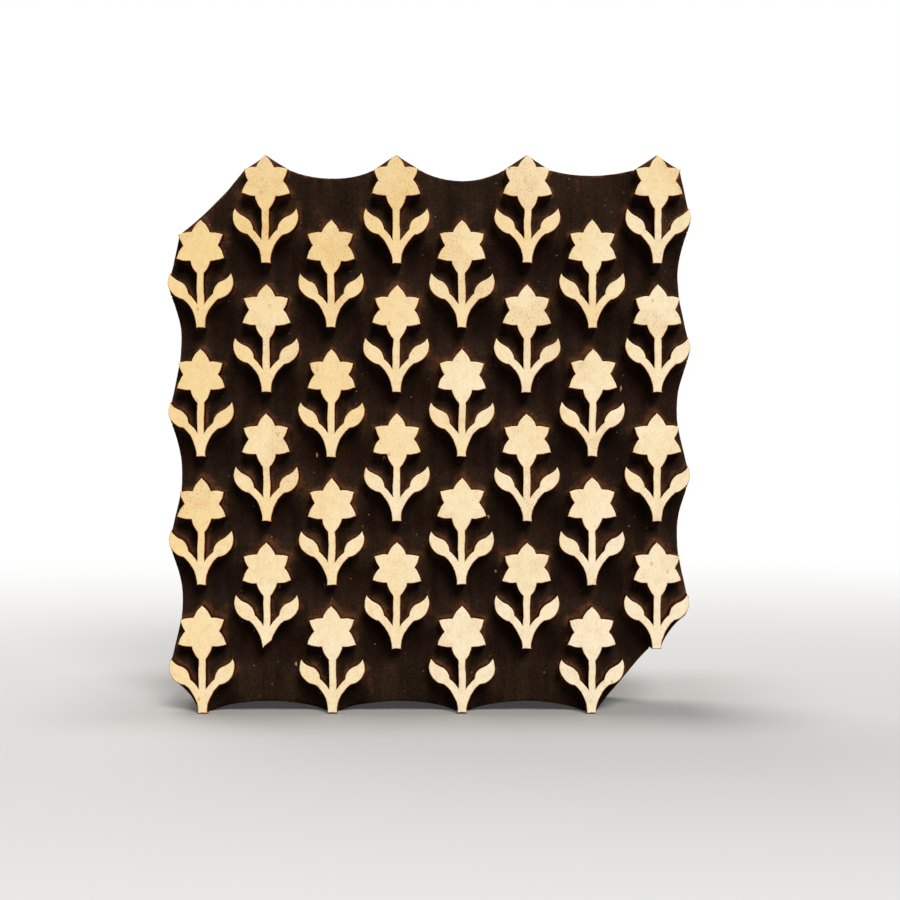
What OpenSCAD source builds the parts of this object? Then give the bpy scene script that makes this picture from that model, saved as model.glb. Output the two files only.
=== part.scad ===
// Wooden textile printing block: a carved face plank glued to two layers of tongued and grooved boards,
// pegged through, with an arched handle let into the back and screwed on.
// Millimetres. X runs to the right along the printing face, Y from the face to the back, Z up.
// The origin is on the surface that the block stands on, under the middle of its box.

/* [Repeat] */
// Distance between neighbouring columns of sprigs
column_pitch = 24.8; // [23:0.1:32]
// Rise from one column to the next, half of the upright repeat
half_drop = 24.5; // [22:0.1:32]
// Low columns of sprigs, each with a high column to its right
column_pairs = 4; // [2:1:6]
// Sprigs in each column
sprigs_up = 4; // [2:1:6]

/* [Sprig] */
// Width of the stem
stem_w = 2.74; // [2:0.02:3.6]
// Width of the foot of the stem
foot_w = 3.34; // [3:0.02:5]
// Height of the flower's centre above the foot
flower_z = 30.7; // [29:0.1:34]
// Length of each pointed petal, tip to tip
petal_l = 16.1; // [14:0.1:18]
// Width of each petal
petal_w = 7.94; // [6:0.02:9]
// Reach of the top petal from the flower's centre
top_reach = 10.08; // [8:0.02:11]
// Reach of the two upper side petals
upper_reach = 9.46; // [8:0.02:11]
// Angle of the upper side petals above the level
upper_angle = 30; // [20:1:40]
// Reach of the two lower side petals
lower_reach = 10.03; // [8:0.02:11]
// Angle of the lower side petals below the level
lower_angle = 27; // [15:0.5:35]
// Reach of the calyx, the petal that runs down into the stem
calyx_reach = 11.7; // [10:0.1:14]
// Radius of the sweep under each branch
branch_r = 13.78; // [12:0.02:16]
// Width of each branch
branch_w = 2.9; // [2:0.02:4]
// Radius of the outer curve of a leaf
leaf_r = 6.61; // [6:0.01:7.2]
// Distance of that curve's centre from the stem
leaf_x = 5.85; // [5:0.05:6.6]
// Height of that curve's centre above the foot
leaf_z = 17.25; // [16.5:0.05:18]
// How far below that centre the branch ends, inside the leaf
branch_end = 4.35; // [3.5:0.05:5]
// Radius of the shoulder of a leaf
shoulder_r = 5.43; // [5:0.01:6]
// How far outside the leaf's centre the shoulder's centre lies
shoulder_out = 4.3; // [3.8:0.05:4.8]
// How far below the leaf's centre the shoulder's centre lies
shoulder_down = 4.71; // [4.2:0.01:5.2]
// Radius of the hollow that draws out the tip of a leaf
hollow_r = 8.06; // [7.6:0.02:8.6]
// How far inside the leaf's centre the hollow's centre lies
hollow_in = 0.8; // [0.4:0.05:1.2]
// How far above the leaf's centre the hollow's centre lies
hollow_up = 7.75; // [7.3:0.05:8.2]

/* [Carving] */
// Height of the sprigs above the ground
relief = 8; // [4:0.5:12]
// Radius of the gouge scoops beside each foot
scoop_r = 26; // [20:1:40]
// Depth of the scoops below the ground
scoop_depth = 2; // [0.5:0.1:3]
// Distance of each scoop's middle from the stem
scoop_x = 8; // [6:0.5:11]

/* [Sawn outline] */
// Ledge of ground left between the outer sprigs and the sawn edge
ledge = 0.5; // [0.3:0.1:1.2]
// Height above a foot at which the edge leaves the leaf
heel_z = 12; // [11:0.1:14]
// Depth of the arches between the feet
foot_arch = 4; // [1:0.1:8]
// Depth of the hollows between the middle top flowers
top_arch = 4.2; // [1:0.1:5]
// Depth of the hollow beside the left-hand top flower
left_top_arch = 3.3; // [1:0.1:5]
// Depth of the hollow beside the right-hand top flower
right_top_arch = 1.9; // [1:0.1:5]
// Depth of the hollows down both sides
side_arch = 1.6; // [1:0.1:4]
// Depth of the hollow across the cut upper corner
upper_corner_arch = 1.1; // [0.5:0.1:2.4]
// Depth of the hollow across the cut lower corner
lower_corner_arch = 0.5; // [0.4:0.1:2.4]
// Depth of the hollows under the outermost leaves
heel_arch = 1.2; // [0.5:0.1:2.8]
// Radius of the saw's turn at both ends of each hollow
saw_r = 0.25; // [0.15:0.05:0.4]

/* [Layers] */
// Thickness of the face plank with its relief
plank_t = 24; // [18:1:32]
// Thickness of the core boards
core_t = 14; // [10:1:20]
// Thickness of the back boards
back_t = 14; // [10:1:20]
// Thickness of the tongues
tongue_t = 5; // [3:0.5:6]
// Reach of the tongues
tongue_l = 5; // [3:0.5:7]
// Clearance of each tongue in its groove
tongue_gap = 0.1; // [0.05:0.05:0.3]

/* [Pegs] */
// Diameter of the pegs
peg_d = 9; // [6:0.5:12]
// Depth of the pegs in the face plank
peg_bite = 8; // [5:0.5:10]
// Height of the pegs' ends above the back
peg_proud = 0.4; // [0.1:0.1:1]
// Clearance of a peg in its bore, on the diameter
peg_gap = 0.1; // [0.05:0.05:0.3]

/* [Handle] */
// Width of the handle
handle_w = 30; // [24:1:40]
// Height of the handle above the back
handle_h = 36; // [32:1:45]
// Length of the finger gap
grip_l = 86; // [80:1:100]
// Height of the finger gap above the back
grip_h = 20; // [18:1:24]
// Radius of the finger gap's upper corners
grip_r = 12; // [6:1:16]
// Thickness of the posts at both ends of the gap
post_t = 14; // [10:1:18]
// Radius of the handle's shoulders
handle_r = 18; // [10:1:22]
// Chamfer along the top of the handle
handle_chamfer = 6; // [3:0.5:9]
// Radius of the coves between posts and feet
cove_r = 12; // [8:1:16]
// Length of the flat on each foot
foot_flat = 11; // [10:1:16]
// Thickness of the feet above the back
foot_t = 10; // [8:1:14]
// Depth of the housings that the feet are let into
housing = 3; // [2:0.5:5]
// Clearance around each foot in its housing
housing_gap = 0.15; // [0.05:0.05:0.4]

/* [Screws] */
// Diameter of the screws' shanks
screw_d = 4.2; // [3:0.2:5]
// Diameter of the screws' heads
head_d = 8.4; // [6:0.2:9.4]
// Height of the countersunk heads
head_h = 2.6; // [1.5:0.1:3.5]
// Length of the screws
screw_l = 32; // [26:1:34]
// Length of the screws' points
point_l = 5; // [3:0.5:8]
// Distance between the two screws of a foot
screw_pitch = 16; // [10:1:20]
// Width of the screwdriver slots
slot_w = 1.1; // [0.6:0.1:1.5]
// Depth of the slots
slot_depth = 1.2; // [0.6:0.1:1.6]
// Clearance of a screw in its hole, on the diameter
screw_gap = 0.1; // [0.05:0.05:0.3]

/* [Hidden] */
$fn = 96;
// Overlap that carries a cut clear of a face
over = 1;
// Boards in each backing layer
boards = 3;

// Places through the depth, from the printing face back
depth = plank_t + core_t + back_t + handle_h;
y_face = -depth / 2;
y_ground = y_face + relief;
y_core = y_face + plank_t;
y_back = y_core + core_t;
y_rear = y_back + back_t;

// Feet of the sprigs: low and high columns alternate, half a repeat apart
low_x = [for (i = [0:column_pairs - 1]) (2 * i - column_pairs + 0.5) * column_pitch];
high_x = [for (x = low_x) x + column_pitch];
low_z = [for (j = [0:sprigs_up - 1]) ledge + 2 * j * half_drop];
high_z = [for (z = low_z) z + half_drop];
sprig_feet = concat([for (x = low_x, z = low_z) [x, z]], [for (x = high_x, z = high_z) [x, z]]);

// Outermost points of a sprig, measured from its foot
leaf_centre = [leaf_x, leaf_z];
shoulder_centre = leaf_centre + [shoulder_out, -shoulder_down];
hollow_centre = leaf_centre + [-hollow_in, hollow_up];
leaf_tip = crossing(leaf_centre, leaf_r, hollow_centre, hollow_r);
leaf_shoulder = shoulder_centre + shoulder_r * towards(shoulder_centre, hollow_centre);
leaf_out = leaf_x + leaf_r;
petal_tip = [0, flower_z] + upper_reach * [cos(upper_angle), sin(upper_angle)];
petal_edge = petal_tip + [ledge, ledge / 2];
sprig_h = flower_z + top_reach;

// Overall size of the block behind the relief
block_h = high_z[sprigs_up - 1] + sprig_h + ledge;
half_w = high_x[column_pairs - 1] + leaf_out + ledge;
core_pitch = block_h / boards;
back_pitch = 2 * half_w / boards;

// Handle, across the middle of the back
handle_z = block_h / 2;
post_x = grip_l / 2 + post_t;
foot_x = post_x + cove_r + foot_flat;
screw_x = foot_x - foot_flat / 2;
screw_places = [for (side = [-1, 1], end = [-1, 1]) [side * screw_x, handle_z + end * screw_pitch / 2]];

// One peg wherever a back board crosses a core board, except under the feet of the handle
peg_places = [for (i = [-1:1], j = [0:boards - 1]) if (i == 0 || j != 1)
    [i * back_pitch, (j + 0.5) * core_pitch]];

// Unit step from one point towards another
function towards(a, b) = (b - a) / norm(b - a);

// The crossing of two circles that lies to the right of the way from the first centre to the second
function crossing(a, ra, b, rb) =
    let (gap = norm(b - a), way = towards(a, b), run = (gap * gap + ra * ra - rb * rb) / (2 * gap),
        reach = sqrt(ra * ra - run * run))
    a + run * way + reach * [way.y, -way.x];

// Sawn edge beside one outer sprig, from under its leaf up to its upper petal, on the right or left
function side_edge(foot, side) = [for (p = [[leaf_out - ledge, heel_z], [leaf_out + ledge, leaf_z - leaf_r / 4],
    [leaf_out + ledge, leaf_z + leaf_r / 4], leaf_tip + [ledge, ledge] * 0.75, petal_edge])
    foot + [side * p.x, p.y]];

// Sawn edge over one top flower, from its tip to its left petal, after its right petal if asked
function flower_edge(foot, right_petal) = [if (right_petal) foot + petal_edge, foot + [0, sprig_h + ledge],
    foot + [-petal_edge.x, petal_edge.y]];

// Sawn edge under one foot, from left to right
function foot_edge(foot) = [foot + [-foot_w / 2 - ledge, -ledge], foot + [foot_w / 2 + ledge, -ledge]];

function reversed(list) = [for (i = [len(list) - 1:-1:0]) list[i]];

// The edge's stretches along the sprigs, anticlockwise, each joined to the next by a chord
edge_bottom = [for (x = low_x) foot_edge([x, low_z[0]])];
edge_right_foot = foot_edge([high_x[column_pairs - 1], high_z[0]]);
edge_right = [for (z = high_z) side_edge([high_x[column_pairs - 1], z], 1)];
edge_top = [for (i = [column_pairs - 1:-1:0])
    flower_edge([high_x[i], high_z[sprigs_up - 1]], i < column_pairs - 1)];
edge_left = [for (z = reversed(low_z)) reversed(side_edge([low_x[0], z], -1))];
edge_runs = concat(edge_bottom, [edge_right_foot], edge_right, edge_top, edge_left);

// Depth of the hollow that follows each stretch
edge_arches = concat([for (i = [1:column_pairs]) i < column_pairs ? foot_arch : lower_corner_arch], [heel_arch],
    [for (i = [1:sprigs_up]) i < sprigs_up ? side_arch : 0],
    [for (i = [1:column_pairs]) i == column_pairs ? upper_corner_arch : i == 1 ? right_top_arch
        : i == column_pairs - 1 ? left_top_arch : top_arch],
    [for (i = [1:sprigs_up]) i < sprigs_up ? side_arch : heel_arch]);

// A circular bite between two points of an anticlockwise edge, ending inside the saw's turns
module edge_hollow(from, to, deep) {
    chord = norm(to - from);
    radius = (chord * chord / 4 + deep * deep) / (2 * deep);
    span = chord - saw_r;
    translate((from + to) / 2)
        rotate(atan2(to.y - from.y, to.x - from.x)) {
            intersection() {
                translate([0, deep - radius]) circle(radius);
                translate([-span / 2, -over]) square([span, deep + 2 * over]);
            }
            for (end = [-1, 1]) translate([end * chord / 2, 0]) circle(saw_r);
        }
}

module block_outline()
    difference() {
        polygon([for (run = edge_runs, p = run) p]);
        for (i = [0:len(edge_runs) - 1])
            if (edge_arches[i] > 0) {
                run = edge_runs[i];
                next = edge_runs[(i + 1) % len(edge_runs)];
                edge_hollow(run[len(run) - 1], next[0], edge_arches[i]);
            }
    }

// A flat shape, drawn in X and Z, given thickness from y0 towards the back
module plate(y0, t)
    translate([0, y0 + t, 0]) rotate([90, 0, 0]) linear_extrude(t) children();

// A hole or pin along Y from y0 towards the back, at a place in X and Z
module rod(place, y0, length, d)
    translate([place.x, y0, place.y]) rotate([-90, 0, 0]) cylinder(h = length, d = d);

module petal(angle, reach) {
    radius = (petal_l * petal_l + petal_w * petal_w) / (4 * petal_w);
    translate([0, flower_z]) rotate(angle) translate([reach - petal_l / 2, 0])
        intersection_for (side = [-1, 1])
            translate([0, side * (radius - petal_w / 2)]) circle(radius);
}

module branch()
    intersection() {
        translate([foot_w / 2 + branch_r, 0])
            difference() {
                circle(branch_r + branch_w);
                circle(branch_r);
            }
        translate([-stem_w / 4, 0]) square([foot_w / 2 + branch_r, leaf_z - branch_end]);
    }

module leaf() {
    intersection() {
        translate(leaf_centre) circle(leaf_r);
        translate(shoulder_centre) circle(shoulder_r);
    }
    difference() {
        intersection() {
            translate(leaf_centre) circle(leaf_r);
            translate([leaf_shoulder.x, shoulder_centre.y]) square(2 * leaf_r);
        }
        translate(hollow_centre) circle(hollow_r);
    }
}

module sprig() {
    petal(90, top_reach);
    petal(upper_angle, upper_reach);
    petal(180 - upper_angle, upper_reach);
    petal(-lower_angle, lower_reach);
    petal(180 + lower_angle, lower_reach);
    petal(-90, calyx_reach);
    translate([-stem_w / 2, 0]) square([stem_w, flower_z]);
    for (side = [0, 1])
        mirror([side, 0]) {
            branch();
            leaf();
        }
}

// Gouge scoops in the ground, one on each side of every foot
module scoops()
    for (foot = sprig_feet, side = [-1, 1])
        translate([foot.x + side * scoop_x, y_ground + scoop_depth - scoop_r, foot.y]) sphere(scoop_r);

module peg_bores(d)
    for (place = peg_places) rod(place, y_core - peg_bite, y_rear + peg_proud - y_core + peg_bite, d);

module screw_holes()
    for (place = screw_places) rod(place, y_rear + foot_t - screw_l, screw_l, screw_d + screw_gap);

module printing_plank() {
    color("#2b1b12")
        difference() {
            plate(y_ground, y_core - y_ground) block_outline();
            scoops();
            peg_bores(peg_d + peg_gap);
        }
    color("#efd9a8")
        for (foot = sprig_feet)
            translate([foot.x, 0, foot.y]) plate(y_face, relief + scoop_depth + over) sprig();
}

// Section of one board of a layer, measured across the boards and then through the thickness
module board_section(i, pitch, t) {
    middle = t / 2;
    difference() {
        translate([i * pitch, 0]) square([pitch, t]);
        if (i > 0)
            translate([i * pitch - over, middle - tongue_t / 2 - tongue_gap])
                square([over + tongue_l + tongue_gap, tongue_t + 2 * tongue_gap]);
    }
    if (i < boards - 1)
        translate([(i + 1) * pitch - over, middle - tongue_t / 2]) square([over + tongue_l, tongue_t]);
}

module core_board(i)
    color("#6b4a2e")
        difference() {
            intersection() {
                plate(y_core, core_t) block_outline();
                translate([-half_w, y_core, 0]) rotate([0, -90, 180]) mirror([0, 1, 0])
                    linear_extrude(2 * half_w) board_section(i, core_pitch, core_t);
            }
            peg_bores(peg_d + peg_gap);
            screw_holes();
        }

module back_board(i)
    color("#7a5636")
        difference() {
            intersection() {
                plate(y_back, back_t) block_outline();
                translate([-half_w, y_back, 0]) linear_extrude(block_h) board_section(i, back_pitch, back_t);
            }
            peg_bores(peg_d + peg_gap);
            screw_holes();
            for (side = [0, 1])
                mirror([side, 0, 0])
                    translate([grip_l / 2 - housing_gap, y_rear - housing, handle_z - handle_w / 2 - housing_gap])
                        cube([foot_x - grip_l / 2 + 2 * housing_gap, housing + over, handle_w + 2 * housing_gap]);
        }

module core_board_lower() core_board(0);
module core_board_middle() core_board(1);
module core_board_upper() core_board(2);
module back_board_left() back_board(0);
module back_board_centre() back_board(1);
module back_board_right() back_board(2);

module pegs()
    color("#a9794a") peg_bores(peg_d);

// A bar with two rounded upper corners, standing on the level y0
module arch_shape(half_l, y0, top, r) {
    translate([-half_l, y0]) square([2 * half_l, top - r - y0]);
    translate([r - half_l, y0]) square([2 * (half_l - r), top - y0]);
    for (side = [-1, 1]) translate([side * (half_l - r), top - r]) circle(r);
}

// The handle from the side, with the surface of the back at zero
module handle_profile()
    difference() {
        union() {
            arch_shape(post_x, -housing, handle_h, handle_r);
            translate([-foot_x, -housing]) square([2 * foot_x, foot_t + housing]);
            for (side = [0, 1])
                mirror([side, 0])
                    difference() {
                        translate([post_x - over, foot_t - over]) square(cove_r + over);
                        translate([post_x + cove_r, foot_t + cove_r]) circle(cove_r);
                    }
        }
        arch_shape(grip_l / 2, -housing - over, grip_h, grip_r);
    }

module handle()
    color("#8a5f38")
        difference() {
            intersection() {
                translate([0, y_rear, handle_z - handle_w / 2]) linear_extrude(handle_w) handle_profile();
                translate([-foot_x, y_rear, handle_z]) rotate([90, 0, 90]) linear_extrude(2 * foot_x)
                    polygon([[-housing, -handle_w / 2], [handle_h - handle_chamfer, -handle_w / 2],
                        [handle_h, handle_chamfer - handle_w / 2], [handle_h, handle_w / 2 - handle_chamfer],
                        [handle_h - handle_chamfer, handle_w / 2], [-housing, handle_w / 2]]);
            }
            screw_holes();
            for (place = screw_places) countersink(place, screw_gap);
        }

// The cone of one screw head, with its flat top level with the foot
module countersink(place, gap)
    translate([place.x, y_rear + foot_t - head_h, place.y]) rotate([-90, 0, 0])
        cylinder(h = head_h, d1 = screw_d + gap, d2 = head_d + gap);

module handle_screw(place)
    difference() {
        union() {
            countersink(place, 0);
            rod(place, y_rear + foot_t - screw_l + point_l, screw_l - point_l, screw_d);
            translate([place.x, y_rear + foot_t - screw_l, place.y]) rotate([-90, 0, 0])
                cylinder(h = point_l, d1 = screw_d / 4, d2 = screw_d);
        }
        translate([place.x - head_d, y_rear + foot_t - slot_depth, place.y - slot_w / 2])
            cube([2 * head_d, slot_depth + over, slot_w]);
    }

module handle_screws()
    color("#4a443e") for (place = screw_places) handle_screw(place);

printing_plank();
core_board_lower();
core_board_middle();
core_board_upper();
back_board_left();
back_board_centre();
back_board_right();
pegs();
handle();
handle_screws();
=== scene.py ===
"""Wooden textile printing block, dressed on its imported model.

A carved face plank with sanded sprigs, two layers of backing boards, pegs, an arched handle and its screws.
Metres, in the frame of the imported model: X right along the face, Y from the face to the back, Z up.
"""

import math

import bmesh
import bpy
from bpy.props import FloatProperty
from bpy.props import FloatVectorProperty
from bpy.props import PointerProperty
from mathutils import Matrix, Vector
from mathutils import kdtree
from mathutils import noise
from mathutils.bvhtree import BVHTree


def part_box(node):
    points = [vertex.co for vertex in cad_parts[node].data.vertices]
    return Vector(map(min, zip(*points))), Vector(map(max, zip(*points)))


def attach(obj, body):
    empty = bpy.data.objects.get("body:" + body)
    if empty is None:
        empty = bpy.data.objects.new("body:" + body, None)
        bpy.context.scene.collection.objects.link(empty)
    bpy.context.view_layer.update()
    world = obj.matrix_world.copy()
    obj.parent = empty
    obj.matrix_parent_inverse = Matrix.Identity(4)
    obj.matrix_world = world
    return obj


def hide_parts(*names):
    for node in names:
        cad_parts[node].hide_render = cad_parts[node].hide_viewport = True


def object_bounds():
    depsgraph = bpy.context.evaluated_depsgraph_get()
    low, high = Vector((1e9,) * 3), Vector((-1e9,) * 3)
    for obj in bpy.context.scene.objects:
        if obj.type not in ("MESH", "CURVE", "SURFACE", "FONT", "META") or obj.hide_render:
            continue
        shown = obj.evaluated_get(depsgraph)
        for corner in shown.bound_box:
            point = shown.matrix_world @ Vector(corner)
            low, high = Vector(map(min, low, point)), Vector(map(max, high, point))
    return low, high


bl_info = {
    "name": "Textile printing block",
    "version": (1, 0, 0),
    "blender": (4, 5, 0),
    "location": "3D View > Sidebar > Printing block",
    "description": "Carves, stains and lights a wooden textile printing block",
    "category": "Object",
}

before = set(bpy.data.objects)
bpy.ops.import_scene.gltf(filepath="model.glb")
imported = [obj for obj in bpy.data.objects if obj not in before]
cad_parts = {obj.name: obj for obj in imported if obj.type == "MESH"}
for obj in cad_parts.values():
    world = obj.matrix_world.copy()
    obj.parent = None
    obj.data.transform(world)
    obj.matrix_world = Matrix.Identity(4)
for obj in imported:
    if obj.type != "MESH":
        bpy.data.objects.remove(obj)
CAD_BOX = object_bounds()

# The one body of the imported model, which every piece rides on
BODY = "root"

# One millimetre, in metres
MM = 0.001

# Places of the layers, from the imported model
FACE_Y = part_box("printing_plank")[0].y
CORE_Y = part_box("printing_plank")[1].y
REAR_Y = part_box("back_board_centre")[1].y
MIDDLE_Z = (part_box("handle")[0].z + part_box("handle")[1].z) / 2

# Height of the relief, and the repeat of the sprigs with the foot of the first one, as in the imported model
RELIEF = 8 * MM
GROUND_Y = FACE_Y + RELIEF
COLUMN_PITCH = 24.8 * MM
HALF_DROP = 24.5 * MM
COLUMNS = 8
ROWS = 4
FIRST_FOOT_X = -86.8 * MM
FIRST_FOOT_Z = 0.5 * MM

# The dishes to the left and right of each foot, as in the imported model
DISH_X = 8 * MM
DISH_REACH = 10.5 * MM
DISH_DEPTH = 2 * MM

# Heights above each foot at which the flower has its middle and the ground rises, and the flower's reach
FLOWER_RISE = 32 * MM
HALO_RISE = 38 * MM
FLOWER_REACH = 12 * MM

# The sprig whose foot is split, counted from 0 up each column: the lowest of the second column
SPLIT_SPRIG = ROWS

# Tolerances of the mesh work: gaps that are closed, and angles that count as flat, sharp or pointed
MERGE_GAP = 0.002 * MM
SPECK_GAP = 0.12 * MM
BOARD_GAP = 0.3 * MM
FLAT_ANGLE = math.radians(0.5)
EDGE_ANGLE = math.radians(30)
SHADE_ANGLE = math.radians(40)
TIP_ANGLE = math.radians(115)

# Share of a face's normal along Y from which it counts as a front, and as one of the sanded tops
FRONT_SHARE = 0.5
FLAT_SHARE = 0.999

# Steps in the rounding of the sprigs' upper edges, and of all other edges
ARRIS_STEPS = 3
EDGE_STEPS = 2

# Share of its distance from its neighbours by which a pointed corner is drawn out
DRAWN_OUT = 0.3

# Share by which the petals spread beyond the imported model's
PETAL_SPREAD = 0.022

# How far each cut runs before it strays another way, and where its noise is read
SAW_REACH = 24 * MM
SAW_SEED = 3.1
SHAKE_REACH = 7 * MM
SHAKE_SEED = 8.7
KNIFE_REACH = 5 * MM
KNIFE_SEED = 1.3
SLIP_REACH = 1.6 * MM
SLIP_SEED = 5.9
UPWARD_SEED = 40

# How many times the saw's long stray is its short one
STRAY_TO_SHAKE = 3

# The splinter broken off the split foot: its reach from the foot's middle, and its slanted line
SPLINTER_HALF = 3 * MM
SPLINTER_BELOW = 0.5 * MM
SPLINTER_ABOVE = 4 * MM
SPLINTER_LEFT = 1.7 * MM
SPLINTER_LIFT = 0.6 * MM
SPLINTER_SLANT = 0.75

# The plate that the ground is cut in, past the plank's outline and behind its back
PLATE_MARGIN = 4 * MM
PLATE_DEPTH = 5 * MM

# Noises of the ground: waves to the metre across and upward, and where each is read
PATCHES = (90, 90, 2.2)
FLUTES = (260, 55, 5.3)
CHOPS = (420, 300, 1.7)

# Shares of the flutes and chops in the gouge marks, and what the patches are added to
FLUTE_SHARE = 0.7
CHOP_SHARE = 0.5
PATCH_BASE = 0.6

# How far the rises above the flowers and at the walls reach
HALO_REACH = 5 * MM
MOUND_REACH = 0.95 * MM

# Unevenness of the worn rim: waves to the metre, and what they are added to
RIM_WAVES = 160
RIM_BASE = 0.6

# How near to a seam an eased edge has caught dirt, and how far the grain shifts from board to board
SEAM_REACH = 1 * MM
BOARD_SHIFT = 0.37

# How often the handle is rubbed over, how clear of the back boards, and the rubbing that bares its wood
HANDLE_RUBS = 14
HANDLE_CLEAR = 0.5 * MM
WORN_THROUGH = 0.5 * MM

# Floor, lamps and camera, in metres but for the sensor's width, which is in millimetres
FLOOR_RADIUS = 4
FLOOR_SIDES = 96
KEY_PLACE = (0.45, -1.9, 1.4)
REAR_PLACE = (-0.5, 1.0, 1.3)
REAR_SIZE = 1.2
SENSOR_WIDTH = 36
WHITE = (1, 1, 1)


def srgb(red, green, blue):
    """A colour in linear light, from the usual 0 to 255 values."""
    steps = []
    for value in (red, green, blue):
        part = value / 255
        steps.append(part / 12.92 if part <= 0.04045 else ((part + 0.055) / 1.055) ** 2.4)
    return tuple(steps)


def length(name, description, default):
    """A size in metres that a user can change."""
    return FloatProperty(
        name=name, description=description, default=default, min=0, unit="LENGTH", precision=5
    )


def colour(name, description, red, green, blue):
    """A colour that a user can change."""
    return FloatVectorProperty(
        name=name, description=description, default=srgb(red, green, blue), subtype="COLOR", min=0, max=1
    )


class BlockSizes(bpy.types.PropertyGroup):
    """Sizes of the hand work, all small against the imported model"""

    mesh_step: length("Carving step", "Distance between the points of the carved face", 1.15 * MM)
    arris: length("Arris", "Rounding of the sprigs' upper edges", 0.34 * MM)
    stray: length("Stray of the cuts", "How far the carver's and sawyer's lines stray", 0.4 * MM)
    hand: length("Stray of the knife", "How far one sprig differs from the next", 0.26 * MM)
    ragged: length("Ragged edges", "How far the knife's small slips stray", 0.11 * MM)
    gouge: length("Gouge marks", "Depth of the gouge marks in the ground", 0.3 * MM)
    mound: length("Rise at the walls", "How far the ground rises to the walls of the sprigs", 1.3 * MM)
    halo: length("Rise above the flowers", "How far the ground rises above each flower", 0.6 * MM)
    rim_wear: length("Worn rim", "How far the rim of the ground is worn down", 0.35 * MM)
    board_edge: length("Eased boards", "Easing of the boards' edges", 0.5 * MM)
    handle_step: length("Handle step", "Distance between the points of the handle", 0.75 * MM)
    peg_edge: length("Peg chamfer", "Easing of the pegs' ends", 0.5 * MM)
    screw_edge: length("Screw edges", "Rounding of the screws' edges", 0.1 * MM)


class BlockColours(bpy.types.PropertyGroup):
    """Colours of the woods, stains and iron, with painted highlight and painted shade on the carved face"""

    sanded_warm: colour("Sanded, warm", "Sanded tops towards the upper left", 238, 210, 152)
    sanded_pale: colour("Sanded, pale", "Sanded tops towards the lower right", 245, 230, 197)
    pore: colour("Pores", "Pores and stains in the sanded tops", 188, 122, 50)
    # The arris colour shows mostly where the rounded edge faces down or right: painted shade
    arris: colour("Arris", "Bare brown line just under the tops", 190, 102, 28)
    wall: colour("Walls", "Stained walls of the sprigs", 84, 38, 14)
    # Painted highlight: the reddish colour of the raised ground near the walls and above the flowers
    ground_highlight: colour("Ground, rubbed", "Higher parts of the ground", 78, 45, 26)
    ground: colour("Ground", "Stained ground", 40, 27, 17)
    # Painted shade: the darkest colour, in the deepest hollows beside the feet
    ground_deep: colour("Ground, deep", "Deepest hollows of the ground", 29, 15, 8)
    rim: colour("Worn rim", "Worn edge between the ground and the sawn sides", 118, 70, 38)
    side: colour("Sawn sides", "Stained sides of the plank", 50, 31, 20)
    chip: colour("Chips", "Small pale chips in the ground", 196, 164, 120)
    core_dark: colour("Core, dark", "Late wood of the core boards", 62, 38, 23)
    core_light: colour("Core, light", "Early wood of the core boards", 104, 68, 42)
    back_dark: colour("Back, dark", "Late wood of the back boards", 84, 52, 31)
    back_light: colour("Back, light", "Early wood of the back boards", 137, 93, 58)
    peg_dark: colour("Pegs, dark", "Late wood of the pegs", 104, 66, 37)
    peg_light: colour("Pegs, light", "Early wood of the pegs", 164, 116, 72)
    handle_dark: colour("Handle, dark", "Late wood of the handle", 88, 49, 25)
    handle_light: colour("Handle, light", "Early wood of the handle", 156, 100, 56)
    grime: colour("Grime", "Oil and dye worked into the wood", 34, 22, 15)
    iron: colour("Iron", "Worn iron of the screws", 108, 102, 96)
    rust: colour("Rust", "Rust on the screws", 96, 54, 32)
    floor: colour("Floor", "The plain floor", 184, 181, 176)


class StageSettings(bpy.types.PropertyGroup):
    """Camera and lamps"""

    camera_distance: length("Camera distance", "Distance of the camera from the printing face", 0.9)
    camera_side: length("Camera offset", "Distance of the camera to the right of the middle", 7.9 * MM)
    camera_height: length("Camera height", "Height of the camera above the floor", 0.133)
    aim_height: length("Aim height", "Height at which the camera's axis meets the face", 0.101)
    lens: FloatProperty(name="Lens", description="Focal length in millimetres", default=94.7, min=1)
    key_strength: FloatProperty(
        name="Key light", description="Strength of the front light", default=3.2, min=0
    )
    key_spread: FloatProperty(
        name="Key spread",
        description="Width of the front light",
        default=math.radians(20),
        min=0,
        subtype="ANGLE",
    )
    back_power: FloatProperty(
        name="Back lamp", description="Power of the rear lamp", default=20, min=0, unit="POWER"
    )
    sky: FloatProperty(
        name="Sky", description="Strength of the even light from all round", default=0.1, min=0
    )


class BlockSettings(bpy.types.PropertyGroup):
    """All settings of the printing block"""

    sizes: PointerProperty(type=BlockSizes, name="Sizes", description="Sizes of the hand work")
    colours: PointerProperty(type=BlockColours, name="Colours", description="Colours of the finishes")
    stage: PointerProperty(type=StageSettings, name="Stage", description="Camera and lamps")


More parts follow.
